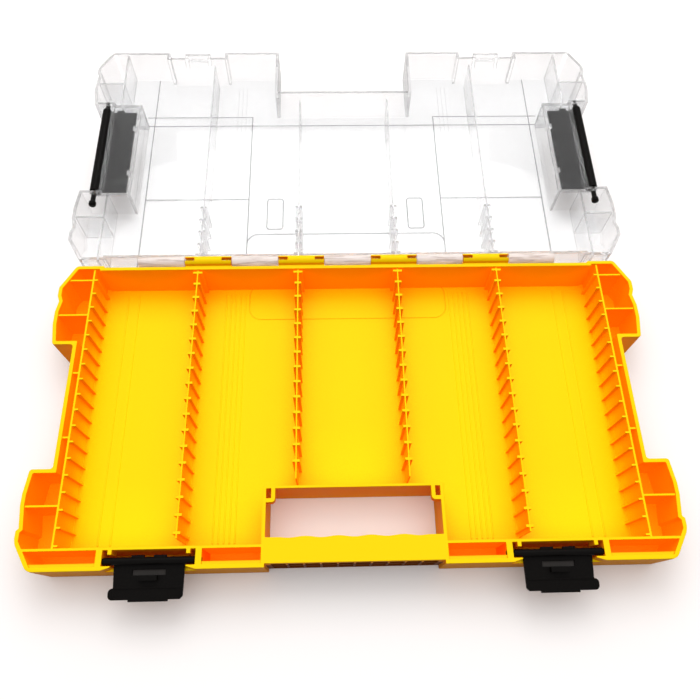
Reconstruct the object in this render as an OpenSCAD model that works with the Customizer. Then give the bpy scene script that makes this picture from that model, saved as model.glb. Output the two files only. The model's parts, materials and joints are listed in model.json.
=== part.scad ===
// Storage case for saw blades: an open tray with five long bays and a clear lid.
// It is drawn standing open, with the lid turned right back and lying flat beside the tray.
// X runs to the right, Y to the back (where the hinge is) and Z up. The origin is the
// centre of the tray's underside.

/* [Case] */
// Width across the side lobes
case_w = 362; // [345:1:400]
// Depth of the tray, from its front face to its back corners
case_d = 187.5; // [180:0.5:220]
// Height of the tray, half of the closed case
tray_h = 27; // [25:0.5:40]
// Outer wall of the tray
wall = 2.3; // [1.8:0.1:2.8]
// Floor of the tray
floor_t = 3; // [2:0.1:4]
// Inner walls of the tray
inner_wall = 1.5; // [1.2:0.1:2]
// Width of a slanted corner, along the front or the back
corner_w = 9; // [6:0.5:12]
// Length of a slanted corner, along the side
corner_l = 15.5; // [12:0.5:20]
// How far the long back wall stands inside the back corners
back_step = 1.2; // [0.6:0.1:2]
// Length of each back corner, from the side face
back_corner_l = 26; // [22:1:30]
// Gap between the closed lid and the tray
seam = 0.3; // [0.2:0.05:0.5]

/* [Side notches] */
// Length of the notch in each side
notch_l = 77; // [70:1:90]
// Depth of the notch, from the side face
notch_in = 14.3; // [12:0.1:15]
// Depth of the shallow flute in each side lobe
flute_d = 1.4; // [0.6:0.1:1.6]
// Distance of a flute from the end of its slanted corner, as a share of the lobe's length
flute_gap_share = 0.15; // [0.1:0.01:0.2]
// Length of the flute's steep side in a front lobe
front_flute_step = 1.4; // [1.2:0.1:2]
// Its sloping side, as a share of the lobe's length
front_ramp_share = 0.3; // [0.15:0.01:0.35]
// Length of the flute's steep side in a back lobe
back_flute_step = 4; // [2:0.1:5]
// Its sloping side, as a share of the lobe's length
back_ramp_share = 0.18; // [0.1:0.01:0.3]
// How far a lobe narrows towards the notch
lobe_taper = 1.8; // [1:0.1:2]
// Length of that narrowing, as a share of the lobe's length
taper_share = 0.35; // [0.2:0.01:0.4]

/* [Handle] */
// Width of the hand opening
hand_w = 96; // [85:1:110]
// Depth of the hand opening
hand_d = 26; // [24:0.5:34]
// Wall behind the hand opening
hand_back_t = 1.5; // [1.2:0.1:2.5]
// Walls at both ends of the hand opening
hand_side_t = 2; // [1.5:0.1:3]
// Width of the hollow lug in each back corner of the hand opening
hand_lug_w = 5; // [4:0.1:6]
// Length of that lug
hand_lug_l = 7.7; // [6:0.1:9]
// Height of the lug, below the rim
hand_lug_h = 5; // [3:0.5:10]
// Radius of its free corner
hand_lug_r = 2.2; // [1:0.1:2.3]
// Depth of the grip bar
grip_d = 14; // [12:0.5:18]
// How far the grip bar stands back from the front face
grip_setback = 2; // [1:0.5:4]
// Distance between two finger valleys along the grip
finger_pitch = 17.7; // [15:0.1:20]
// Height of a finger ridge above the mean edge
finger_rise = 0.4; // [0.2:0.1:1.2]
// Number of cored pockets in a row on the front of the grip
grip_pockets = 10; // [8:1:12]
// Ribs between the cored pockets
grip_rib = 1.3; // [1:0.1:2]
// Skin of the grip bar behind, above and below its pockets
grip_skin = 3; // [2.5:0.1:4]

/* [Divider rails] */
// Distance between two rails
bay_pitch = 63.7; // [60:0.1:66]
// Distance between two fins along a rail
fin_pitch = 9.7; // [8:0.1:12]
// Width of a fin, across the rail
fin_w = 4.4; // [3:0.1:6]
// Thickness of a fin, along the rail
fin_t = 1.6; // [1:0.1:2.5]
// Thickness of the web that joins the fins
web_t = 0.9; // [0.8:0.1:1.5]
// How far the rails and racks stay below the rim
rail_drop = 1; // [0.5:0.1:3]
// Gap between the end of a rail and the wall in front of it
rail_end_gap = 4; // [2:0.5:8]
// Width of the post that ends a rail at the hinge side
post_w = 6; // [5:0.5:8]

/* [Side racks] */
// Outer face of a rack, from the side face of the case
rack_set = 19.7; // [18.5:0.1:24]
// Thickness of a rack wall and of its cross ribs
rack_t = 1.2; // [1:0.1:2]
// Length of a tooth, towards the bay
tooth_l = 2.2; // [1.5:0.1:4]
// Distance between two teeth
tooth_pitch = 9.67; // [8:0.1:12]
// Distance of the first tooth from the back corners
tooth_start = 9.8; // [8:0.1:14]
// Distance of the rib in the back corner from the back corners
corner_rib = 10; // [6:0.5:16]
// Distance of the rib in a lobe from the end of the notch
lobe_rib = 20.5; // [12:0.5:26]
// Distance of the two ribs beside the notch from its middle
notch_rib = 20; // [10:0.5:28]

/* [Front boxes] */
// Depth of the boxes and latch bays along the front
front_box_d = 10.5; // [10:0.1:14]
// Depth of the rim in front of a box
front_rim_d = 4; // [3.2:0.1:5]
// How far the inner part of that rim lies below the outer part
front_rim_drop = 1; // [0.5:0.1:2]
// Thickness of that inner part
front_rim_t = 1.5; // [1:0.1:3]

/* [Floor ridges] */
// Width of a ridge on the tray's floor
ridge_w = 0.8; // [0.5:0.1:1.5]
// Height of a ridge
ridge_h = 0.4; // [0.2:0.1:0.8]
// Middle of the five ridges in an inner bay
ridge_x = 74; // [70:0.5:78]
// Distance between two of these ridges
ridge_pitch = 3.1; // [2.4:0.1:5]
// Middle of the two ridges in an outer bay
outer_ridge_x = 141.5; // [136:0.5:146]
// Distance between these two ridges
outer_ridge_pitch = 7; // [4:0.5:9]

/* [Hinge] */
// Distance of the hinge axis behind the long back wall
hinge_gap = 3.7; // [3.6:0.1:5]
// Radius of a knuckle
barrel_r = 3.2; // [2.8:0.1:3.3]
// Height of the web that carries a knuckle
barrel_web_h = 7; // [5:0.5:10]
// Length of a knuckle with its side gap
knuckle_pitch = 29.65; // [26:0.05:30]
// Side gap between two knuckles
knuckle_gap = 0.3; // [0.2:0.05:0.6]
// Radius of a hinge stub
stub_r = 1.55; // [1.2:0.05:1.8]
// Radial clearance of a hinge stub in its bore
stub_fit = 0.05; // [0.03:0.01:0.08]
// Length of a hinge stub
stub_l = 6; // [4:0.5:8]
// Width of the slot above each end of a bore
slot_w = 2.2; // [1.5:0.1:2.6]

/* [Front latches] */
// Middle of a front latch, from the side face of the case
latch_in = 72; // [69:0.5:77]
// Width of a latch bay
latch_bay_w = 49; // [46:0.5:52]
// Walls at both ends of a latch bay
latch_ear_t = 3.4; // [2:0.1:3.6]
// Width of the gap in the front wall
latch_gap_w = 39.5; // [38:0.5:42]
// Depth of that gap below the rim
latch_gap_h = 6.8; // [6.4:0.1:9]
// Length of the slanted lip at each end of the gap
gap_lip_l = 5; // [3:0.1:6]
// How far the front of a lip slants back
gap_lip_in = 1.6; // [0.8:0.1:1.7]
// Distance of the two ribs behind a latch from its middle
bay_rib_x = 20.7; // [20:0.1:22]
// Width of such a rib
bay_rib_w = 2.2; // [1.5:0.1:3]
// How far a rib stands out of the inner front wall
bay_rib_l = 2.4; // [1.5:0.1:2.6]
// Height of a rib
bay_rib_h = 9; // [5:0.5:12]
// Distance of the pivot behind the front face
pivot_in = 5; // [4.9:0.1:6]
// Distance of the pivot below the rim
pivot_drop = 2.4; // [2.3:0.1:2.8]
// Radius of the pivot bar
pivot_bar_r = 2; // [1.8:0.1:2.1]
// Radius of the pivot stubs
pivot_r = 1.45; // [1.2:0.05:1.6]
// Radial clearance of a pivot stub in its bore
pivot_fit = 0.05; // [0.03:0.01:0.08]
// Side gap between a latch and its bay
latch_side_gap = 0.5; // [0.3:0.1:0.8]
// Width of the latch plate
latch_w = 37.5; // [34:0.5:37.5]
// Length of the latch plate, from the pivot
latch_l = 20.5; // [17:0.5:23]
// Thickness of the latch plate
latch_t = 2; // [1.6:0.1:2.2]
// Distance of the plate's inner face from the pivot
latch_off = 1; // [0.8:0.1:1.2]
// Droop of the open latch below the level
latch_droop = 8; // [0:1:10]
// Width of the window in the plate
window_w = 17.5; // [15:0.5:20]
// Length of the window, away from the pivot
window_l = 3; // [2:0.1:3.4]
// Skin left below the window
window_skin = 0.8; // [0.4:0.1:1.2]
// Distance of the hook from the pivot
hook_start = 7.3; // [7.2:0.1:8]
// Length of the hook, along the plate
hook_l = 2.8; // [2:0.1:4]
// Width of the hook
hook_w = 10; // [8:0.5:14]
// Height of the hook above the plate
hook_h = 3; // [2:0.1:3.2]
// Length of the finger lip at the tip of the plate
lip_l = 2; // [1.5:0.1:3]
// How far the finger lip stands out
lip_h = 1; // [0.5:0.1:1.5]
// Distance of the grip ridge from the pivot
latch_ridge = 13; // [12:0.5:15]
// How much narrower the plate's tip is, at each side
latch_taper = 0.6; // [0:0.1:1.5]
// Slanted corner of the tip
latch_corner = 1.5; // [0.5:0.1:3]
// Width of the tongue in the middle of the tip
tongue_w = 20.5; // [14:0.5:24]
// How far the tongue stands out of the tip
tongue_l = 1; // [0.5:0.1:1.5]
// Width of the ear at the outer corner of the tip
ear_w = 2.3; // [1:0.1:2.5]
// Length of the ear, along the plate
ear_l = 5.9; // [4.6:0.1:7]
// How far the ear's inner face lies behind the plate's
ear_back = 0.6; // [0.5:0.1:0.8]
// Height of the two stops on the pivot bar, from the pivot
stop_l = 3; // [2.2:0.1:3.1]
// Width of such a stop
stop_w = 6.6; // [4:0.2:8]
// Distance between the two stops
stop_pitch = 11.8; // [10:0.2:14]

/* [Lid] */
// Walls of the lid
lid_wall = 2; // [1.6:0.1:2.4]
// Top panel of the lid
lid_top_t = 2.2; // [1.8:0.1:3]
// How far the lid's front stands back from the tray's
lid_setback = 4; // [3.9:0.1:5]
// Width of the recess for a front latch
recess_w = 41; // [40:0.5:43]
// Depth of that recess
recess_d = 5; // [4.6:0.1:6]
// Width of the tab that a front latch hooks over
tab_w = 19; // [14:0.5:22]
// How far the tab stays inside the lid's front
tab_in = 0.5; // [0.4:0.1:1]
// Height of the tab
tab_h = 3.4; // [2.5:0.1:3.6]
// How far the tab stays from the lid's rim
tab_drop = 0.7; // [0.5:0.1:0.9]
// Length of the finned part of a lid rail
lid_fins_l = 50; // [30:1:80]
// Half width of the middle field of the outer face
field_x = 68.8; // [60:0.2:74]
// Distance of the long side grooves from the middle
side_groove_x = 142.4; // [136:0.2:145]
// Length of the platform along the hinge, from the hinge axis
platform_l = 38.8; // [30:0.2:42]
// Corner radius of that platform
platform_r = 8; // [4:0.5:12]
// Distance of the near cross grooves from the hinge axis
near_groove_y = 69; // [60:0.2:72]
// Distance of the cross groove near the hand opening
hand_groove_y = 137.6; // [120:0.2:142]
// Distance of the far cross grooves
far_groove_y = 146.1; // [144:0.1:150]
// Distance of the small frames from the middle
frame_x = 49.8; // [40:0.2:56]
// Width of a small frame
frame_w = 11.2; // [8:0.2:14]
// Length of a small frame
frame_l = 26; // [16:0.5:28]
// Distance of the small frames from the platform
frame_gap = 4.3; // [2:0.1:6]
// Corner radius of a small frame
frame_r = 2; // [1:0.1:3]

/* [Grooves] */
// Width of a groove in the lid's outer face or the tray's floor
groove_w = 0.6; // [0.4:0.1:1]
// Depth of a groove
groove_d = 0.4; // [0.2:0.1:0.6]
// Half width of the field that a groove bounds on the tray's floor
back_field_x = 65; // [56:0.5:66]
// Length of that field, from the back wall
back_field_l = 23.2; // [18:0.2:30]
// Corner radius of that field
back_field_r = 8; // [4:0.5:10]

/* [Side latches] */
// Distance of a side latch's pivot outside the notch wall
side_pivot_out = 3.8; // [3.6:0.1:4.5]
// Distance of that pivot below the lid's rim
side_pivot_drop = 3.5; // [3.4:0.1:4]
// Radius of the barrel
side_barrel_r = 3.2; // [3:0.1:3.3]
// Gap between the barrel's ends and the notch
side_end_gap = 1.5; // [1:0.1:3]
// Radius of the pivot pin
pin_r = 1.6; // [1.2:0.05:1.8]
// Radial clearance of the pin in the lid
pin_fit = 0.05; // [0.03:0.01:0.08]
// Radial clearance of the pin in the barrel
pin_seat = 0.02; // [0.01:0.01:0.05]
// Radius of the pin's head
pin_head_r = 2.4; // [2:0.1:3]
// Length of the pin's head
pin_head_l = 4; // [2.5:0.5:6]
// Length of bare pin between the head and the lid
pin_neck_l = 4.5; // [2:0.5:6]
// How far the pin stands out of the far wall
pin_tail_l = 1; // [0.5:0.1:2]
// Width of the recess that holds a stowed latch, from the notch wall
ledge_w = 18.7; // [17:0.1:20]
// Thickness of the ledge over that recess
ledge_t = 1.4; // [1.2:0.1:1.8]
// Depth of the ledge below the lid's rim
ledge_drop = 2.7; // [2:0.1:3]
// Thickness of the latch plate
side_plate_t = 1.8; // [1.5:0.1:2]
// Gap between the stowed plate and the ledge
side_plate_gap = 0.6; // [0.4:0.1:0.8]
// Gap between the plate's free edge and the recess
side_edge_gap = 1.6; // [1:0.1:2.2]
// How far the plate stops short of the barrel's far end
side_plate_short = 2.7; // [2:0.1:6]
// Width of the thumb tab at the far end of the plate
thumb_w = 5; // [4:0.5:8]
// Length of the thumb tab
thumb_l = 2; // [1:0.1:2.5]
// Distance of the thumb tab from the plate's free edge
thumb_in = 9; // [5:0.5:10]
// Distance between the two snap clips
clip_pitch = 40; // [30:1:60]
// Length of a snap clip
clip_l = 4; // [3:0.5:6]
// How far a snap clip reaches out of the recess wall
clip_out = 2.4; // [1.8:0.1:2.8]
// Height of a snap clip
clip_h = 2; // [1.5:0.1:3]
// Clearance around a snap clip in the plate's edge
clip_room = 0.7; // [0.5:0.1:1]

/* [Hidden] */
$fn = 64;
yellow = "gold";
clear = [0.85, 0.88, 0.9, 0.35];
black = [0.12, 0.12, 0.13];
cut = 1; // how far a cutting shape runs past the face that it cuts

half_w = case_w / 2;
half_d = case_d / 2;
notch_x = half_w - notch_in;
back_y = half_d - back_step;
back_corner_x = half_w - back_corner_l;

hinge_y = back_y + hinge_gap;
hinge_z = tray_h;
lid_h = hinge_z - seam;

grip_front = -half_d + grip_setback;
grip_back = grip_front + grip_d;
hand_back = grip_back + hand_d;
hand_side_x = hand_w / 2 + hand_side_t;
box_back = -half_d + front_box_d;

rail_xs = [-1.5 * bay_pitch, -0.5 * bay_pitch, 0.5 * bay_pitch, 1.5 * bay_pitch];
rail_start = back_y - wall;
rail_end_outer = box_back + inner_wall + rail_end_gap;
rail_end_inner = hand_back + hand_back_t + rail_end_gap;
rail_h = tray_h - rail_drop - floor_t;
rack_x = half_w - rack_set;

latch_x = half_w - latch_in;
pivot_y = -half_d + pivot_in;
pivot_z = tray_h - pivot_drop;

// Lid sizes, measured in Y from the hinge axis
notch_near = hinge_y - notch_l / 2;
notch_far = hinge_y + notch_l / 2;
lid_near = hinge_gap;
lid_far = hinge_y + half_d - lid_setback;
lid_hand = hinge_y - hand_back - hand_back_t;
tab_far = lid_far - tab_in;

side_pivot_x = notch_x + side_pivot_out;
side_pivot_z = lid_h - side_pivot_drop;
ledge_x = notch_x - ledge_w;
ledge_z = lid_h - ledge_drop;
side_plate_z = ledge_z - ledge_t - side_plate_gap - side_plate_t;
side_plate_x = ledge_x + side_edge_gap;
barrel_near = notch_near + side_end_gap;
barrel_far = notch_far - side_end_gap;

// A closed outline from its right half, which runs anticlockwise
function both_halves(half) =
    concat(half, [for (i = [len(half) - 1:-1:0]) [-half[i][0], half[i][1]]]);

// The edge from p to q, moved to its left by d
function moved(p, q, d) = p + d * [p[1] - q[1], q[0] - p[0]] / norm(q - p);

// Where the line through p along u meets the line through q along v
function meet(p, u, q, v) =
    p + u * ((q[0] - p[0]) * v[1] - (q[1] - p[1]) * v[0]) / (u[0] * v[1] - u[1] * v[0]);

// An anticlockwise outline, moved inwards by d all round
function inset(pts, d) = [for (i = [0:len(pts) - 1])
    let (before = pts[(i + len(pts) - 1) % len(pts)], here = pts[i], after = pts[(i + 1) % len(pts)])
    meet(moved(before, here, d), here - before, moved(here, after, d), after - here)];

// The side of a right-hand lobe from the notch's end to the slanted corner at y, with its flute
function lobe_side(start, y, step, ramp_share) =
    let (lobe = y - start, flute = y - flute_gap_share * lobe, deepest = flute - sign(lobe) * step) [
        [half_w - lobe_taper, start],
        [half_w, start + taper_share * lobe],
        [half_w, deepest - ramp_share * lobe],
        [half_w - flute_d, deepest],
        [half_w, flute],
        [half_w, y]];

function reversed(pts) = [for (i = [len(pts) - 1:-1:0]) pts[i]];

function tray_outline() = both_halves(concat(
    [[half_w - corner_w, -half_d]],
    reversed(lobe_side(-notch_l / 2, -half_d + corner_l, front_flute_step, front_ramp_share)),
    [[notch_x, -notch_l / 2], [notch_x, notch_l / 2]],
    lobe_side(notch_l / 2, half_d - corner_l, back_flute_step, back_ramp_share),
    [[half_w - corner_w, half_d], [back_corner_x, half_d], [back_corner_x, back_y]]));

// The lid's outline with its notch walls at x, measured in Y from the hinge axis
function lid_outline(x) = both_halves(concat(
    [[back_corner_x, lid_near], [back_corner_x, lid_near - back_step], [half_w - corner_w, lid_near - back_step]],
    reversed(lobe_side(notch_near, lid_near - back_step + corner_l, back_flute_step, back_ramp_share)),
    [[x, notch_near], [x, notch_far]],
    lobe_side(notch_far, lid_far - corner_l, front_flute_step, front_ramp_share),
    [[half_w - corner_w, lid_far],
        [latch_x + recess_w / 2, lid_far],
        [latch_x + recess_w / 2, lid_far - recess_d],
        [latch_x - recess_w / 2, lid_far - recess_d],
        [latch_x - recess_w / 2, lid_far],
        [hand_w / 2, lid_far],
        [hand_w / 2, lid_hand]]));

// A shape and its mirror image on the left
module both_sides() {
    children();
    mirror([1, 0, 0]) children();
}

// A box from one corner to the opposite one
module block(low, high) {
    translate(low) cube(high - low);
}

// A rod along X
module rod_x(x0, x1, r) {
    translate([x0, 0, 0]) rotate([0, 90, 0]) cylinder(h = x1 - x0, r = r);
}

// A rod along Y
module rod_y(y0, y1, r) {
    translate([0, y0, 0]) rotate([-90, 0, 0]) cylinder(h = y1 - y0, r = r);
}

// A flat shape from one corner to the opposite one, with rounded corners
module rounded(low, high, r) {
    translate([low[0] + r, low[1]]) square([high[0] - low[0] - 2 * r, high[1] - low[1]]);
    translate([low[0], low[1] + r]) square([high[0] - low[0], high[1] - low[1] - 2 * r]);
    for (x = [low[0] + r, high[0] - r], y = [low[1] + r, high[1] - r])
        translate([x, y]) circle(r);
}

// The flat shape of a groove that runs round such a shape
module groove_ring(low, high, r) {
    half = groove_w / 2;
    difference() {
        rounded(low - [half, half], high + [half, half], r + half);
        rounded(low + [half, half], high - [half, half], r - half);
    }
}

// The space inside the tray's outer wall
module tray_inside(top) {
    translate([0, 0, floor_t]) linear_extrude(top - floor_t) polygon(inset(tray_outline(), wall));
}

// The lid's own place: Y counts from the hinge axis and Z from the table
module at_hinge() {
    translate([0, hinge_y, 0]) children();
}

// ---- Tray

// Low ridges along the right-hand bays
module floor_ridges() {
    for (i = [-2:2]) {
        x = ridge_x + i * ridge_pitch;
        block([x - ridge_w / 2, rail_end_outer, 0], [x + ridge_w / 2, rail_start - rail_end_gap, floor_t + ridge_h]);
    }
    for (i = [-0.5, 0.5]) {
        x = outer_ridge_x + i * outer_ridge_pitch;
        block([x - ridge_w / 2, rail_end_outer, 0], [x + ridge_w / 2, rail_start - rail_end_gap, floor_t + ridge_h]);
    }
}

// Groove around the field at the back of the floor
module floor_groove() {
    translate([0, 0, floor_t - groove_d]) linear_extrude(groove_d + cut) intersection() {
        groove_ring([-back_field_x, rail_start - back_field_l], [back_field_x, half_d], back_field_r);
        translate([-half_w, -half_d]) square([case_w, half_d + rail_start]);
    }
}

// Short hollow lug with one rounded corner, in the right back corner of the hand opening
module hand_lug() {
    x0 = hand_w / 2 - hand_lug_w;
    y0 = hand_back - hand_lug_l;
    low = tray_h - hand_lug_h;
    difference() {
        union() {
            block([x0 + hand_lug_r, y0, low], [hand_w / 2, hand_back, tray_h]);
            block([x0, y0 + hand_lug_r, low], [hand_w / 2, hand_back, tray_h]);
            translate([x0 + hand_lug_r, y0 + hand_lug_r, low]) cylinder(h = hand_lug_h, r = hand_lug_r);
        }
        block([x0 + wall, y0 + wall, low - cut], [hand_w / 2, hand_back, tray_h + cut]);
    }
}

// The slanted fronts of the lips at both ends of a latch gap
module gap_lips() {
    for (way = [-1, 1])
        translate([latch_x + way * latch_gap_w / 2, -half_d, tray_h - latch_gap_h]) linear_extrude(latch_gap_h + cut)
            polygon([[-way * cut, gap_lip_in], [0, gap_lip_in], [way * gap_lip_l, 0], [way * gap_lip_l, -cut],
                [-way * cut, -cut]]);
}

// One moulding: floor, outer wall and the walls around the hand opening
module base_tray() {
    color(yellow) both_sides() hand_lug();
    color(yellow) difference() {
        union() {
            difference() {
                linear_extrude(tray_h) polygon(tray_outline());
                tray_inside(tray_h + cut);
            }
            block([-hand_side_x, -half_d, 0], [hand_side_x, hand_back + hand_back_t, tray_h]);
            both_sides() floor_ridges();
        }
        block([-hand_w / 2, -half_d - cut, -cut], [hand_w / 2, hand_back, tray_h + cut]);
        floor_groove();
        both_sides() {
            block([latch_x - latch_gap_w / 2, -half_d - cut, tray_h - latch_gap_h],
                [latch_x + latch_gap_w / 2, -half_d + wall + cut, tray_h + cut]);
            gap_lips();
        }
    }
}

// Grip bar with finger ridges behind and cored pockets in front
module handle_grip() {
    pocket_pitch = (hand_w - 2 * grip_skin + grip_rib) / grip_pockets;
    row_h = (tray_h - 2 * grip_skin - grip_rib) / 2;
    steps = 72;
    ridge_end = 2.25 * finger_pitch;
    back_edge = [for (i = [steps:-1:0])
        let (x = -ridge_end + 2 * ridge_end * i / steps)
        [x, grip_back - finger_rise * (1 + cos(360 * x / finger_pitch))]];
    color(yellow) difference() {
        linear_extrude(tray_h) polygon(concat(
            [[-hand_w / 2, grip_back - finger_rise], [-hand_w / 2, grip_front], [hand_w / 2, grip_front],
                [hand_w / 2, grip_back - finger_rise]],
            back_edge));
        for (row = [0, 1], i = [0:grip_pockets - 1])
            translate([-hand_w / 2 + grip_skin + i * pocket_pitch, grip_front - cut,
                grip_skin + row * (row_h + grip_rib)])
                cube([pocket_pitch - grip_rib, grip_d - grip_skin - 2 * finger_rise + cut, row_h]);
    }
}

// A rail of fins on a web, from its hinge-side end y0 towards y1, with fins as far as y2
module finned_rail(x, y0, y1, y2, z0, h) {
    way = sign(y1 - y0);
    fin_count = floor((abs(y2 - y0) - fin_t) / fin_pitch);
    block([x - web_t / 2, min(y0, y1), z0], [x + web_t / 2, max(y0, y1), z0 + h]);
    for (i = [1:fin_count])
        translate([x - fin_w / 2, y0 + way * i * fin_pitch - fin_t / 2, z0]) cube([fin_w, fin_t, h]);
    translate([x - post_w / 2, y0 + way * fin_t - fin_t / 2, z0]) cube([post_w, fin_t, h]);
}

module divider_rail(i) {
    end = abs(rail_xs[i]) > hand_side_x ? rail_end_outer : rail_end_inner;
    color(yellow) finned_rail(rail_xs[i], rail_start, end, end, floor_t, rail_h);
}

// Thin wall with teeth that ends an outer bay, and the ribs that tie it to the outer wall
module side_rack() {
    y0 = box_back + inner_wall;
    top = tray_h - rail_drop;
    teeth = floor((half_d - tooth_start - y0) / tooth_pitch);
    color(yellow) intersection() {
        tray_inside(top);
        union() {
            block([rack_x - rack_t, y0, 0], [rack_x, half_d, top]);
            for (i = [0:teeth])
                translate([rack_x - rack_t - tooth_l, half_d - tooth_start - i * tooth_pitch - rack_t / 2, 0])
                    cube([tooth_l + rack_t / 2, rack_t, top]);
            for (y = [half_d - corner_rib, notch_l / 2 + lobe_rib, notch_rib, -notch_rib, -notch_l / 2 - lobe_rib])
                block([rack_x - rack_t / 2, y - rack_t / 2, 0], [half_w, y + rack_t / 2, top]);
        }
    }
}

// Inner front wall with the latch bay, its pivot bores and the boxes on both sides
module front_frame() {
    front = -half_d + wall;
    bay_x0 = latch_x - latch_bay_w / 2;
    bay_x1 = latch_x + latch_bay_w / 2;
    color(yellow) difference() {
        intersection() {
            tray_inside(tray_h);
            union() {
                block([hand_side_x, box_back, 0], [half_w, box_back + inner_wall, tray_h]);
                block([bay_x0 - latch_ear_t, front, 0], [bay_x0, box_back, tray_h]);
                block([bay_x1, front, 0], [bay_x1 + latch_ear_t, box_back, tray_h]);
                for (x = [latch_x - bay_rib_x, latch_x + bay_rib_x])
                    block([x - bay_rib_w / 2, box_back - bay_rib_l, tray_h - bay_rib_h],
                        [x + bay_rib_w / 2, box_back, tray_h]);
                block([hand_side_x, front, tray_h - front_rim_drop - front_rim_t],
                    [bay_x0, -half_d + front_rim_d, tray_h - front_rim_drop]);
                block([bay_x1, front, tray_h - front_rim_drop - front_rim_t],
                    [half_w, -half_d + front_rim_d, tray_h - front_rim_drop]);
            }
        }
        translate([0, pivot_y, pivot_z]) rod_x(bay_x0 - latch_ear_t - cut, bay_x0 + cut, pivot_r + pivot_fit);
        translate([0, pivot_y, pivot_z]) rod_x(bay_x1 - cut, bay_x1 + latch_ear_t + cut, pivot_r + pivot_fit);
    }
}

// ---- Hinge

// The span along X of knuckle i, where 0 is the middle one
function knuckle_start(i) = (i - 0.5) * knuckle_pitch + knuckle_gap / 2;
function knuckle_stop(i) = (i + 0.5) * knuckle_pitch - knuckle_gap / 2;

module tray_hinge_knuckles() {
    bore_r = stub_r + stub_fit;
    color(yellow) for (i = [-3, -1, 1, 3]) difference() {
        union() {
            translate([0, hinge_y, hinge_z]) rod_x(knuckle_start(i), knuckle_stop(i), barrel_r);
            block([knuckle_start(i), back_y, hinge_z - barrel_web_h], [knuckle_stop(i), hinge_y, hinge_z]);
        }
        translate([0, hinge_y, hinge_z]) rod_x(knuckle_start(i) - cut, knuckle_stop(i) + cut, bore_r);
        block([knuckle_start(i) - cut, hinge_y - slot_w / 2, hinge_z],
            [knuckle_start(i) + stub_l, hinge_y + slot_w / 2, hinge_z + barrel_r + cut]);
        block([knuckle_stop(i) - stub_l, hinge_y - slot_w / 2, hinge_z],
            [knuckle_stop(i) + cut, hinge_y + slot_w / 2, hinge_z + barrel_r + cut]);
    }
}

// Clear knuckles with the stubs that turn in the tray's bores
module lid_hinge_knuckles() {
    color(clear) for (i = [-4:2:4]) {
        first = i == -4 ? knuckle_start(i) : knuckle_start(i) - knuckle_gap - stub_l;
        last = i == 4 ? knuckle_stop(i) : knuckle_stop(i) + knuckle_gap + stub_l;
        translate([0, hinge_y, hinge_z]) rod_x(knuckle_start(i), knuckle_stop(i), barrel_r);
        translate([0, hinge_y, hinge_z]) rod_x(first, last, stub_r);
        block([knuckle_start(i), hinge_y, hinge_z - barrel_web_h], [knuckle_stop(i), hinge_y + hinge_gap, lid_h]);
    }
}

// ---- Front latches

// The plate of a front latch, seen from above
module latch_plate() {
    tip = -latch_l + tongue_l;
    tip_x = latch_w / 2 - latch_taper;
    polygon(both_halves([[tongue_w / 2, -latch_l], [tongue_w / 2, tip], [tip_x - latch_corner, tip],
        [tip_x, tip + latch_corner], [latch_w / 2, 0]]));
}

// A front latch around its pivot, with the plate level and reaching to -Y
module front_latch_shape() {
    inner = -latch_off;
    outer = inner - latch_t;
    tip = -latch_l + tongue_l;
    difference() {
        union() {
            rod_x(-latch_bay_w / 2 + latch_side_gap, latch_bay_w / 2 - latch_side_gap, pivot_bar_r);
            rod_x(-latch_bay_w / 2 - latch_ear_t, latch_bay_w / 2 + latch_ear_t, pivot_r);
            translate([0, 0, outer]) linear_extrude(latch_t) latch_plate();
            translate([0, 0, outer]) linear_extrude(latch_t - ear_back)
                rounded([0, tip], [latch_w / 2 + ear_w, tip + ear_l], ear_w);
            for (x = [-stop_pitch / 2, stop_pitch / 2])
                block([x - stop_w / 2, 0, inner], [x + stop_w / 2, stop_l, -inner]);
            block([-tongue_w / 2, -latch_l, outer - lip_h], [tongue_w / 2, -latch_l + lip_l, inner]);
            intersection() {
                translate([0, 0, outer]) linear_extrude(latch_t + lip_h / 2) latch_plate();
                block([-latch_w / 2, -latch_ridge - lip_h, inner - lip_h],
                    [latch_w / 2, -latch_ridge, inner + lip_h / 2]);
            }
            block([-hook_w / 2, -hook_start - hook_l, inner - lip_h], [hook_w / 2, -hook_start, inner + hook_h]);
        }
        block([-window_w / 2, -hook_start, outer + window_skin], [window_w / 2, -hook_start + window_l, inner + cut]);
    }
}

module front_latch() {
    color(black) translate([latch_x, pivot_y, pivot_z]) rotate([latch_droop, 0, 0]) front_latch_shape();
}

// ---- Lid

// Low walls that close the pockets in the right-hand lobes of the lid
module lid_pocket_walls() {
    top = lid_h - rail_drop;
    block([rack_x - rack_t, lid_near - back_step + lid_wall / 2, 0], [rack_x, notch_near - lid_wall / 2, top]);
    block([rack_x - rack_t, notch_far + lid_wall / 2, 0], [rack_x, lid_far - lid_wall / 2, top]);
    block([rack_x - rack_t / 2, notch_near - lobe_rib - rack_t, 0], [half_w - lid_wall / 2, notch_near - lobe_rib, top]);
    block([rack_x - rack_t / 2, notch_far + lobe_rib, 0], [half_w - lid_wall / 2, notch_far + lobe_rib + rack_t, top]);
}

// A straight groove in the outer face, from one point to the next
module groove(from, to) {
    half = [groove_w / 2, groove_w / 2];
    translate([0, 0, -cut]) linear_extrude(groove_d + cut)
        translate(from - half) square(to - from + 2 * half);
}

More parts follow.
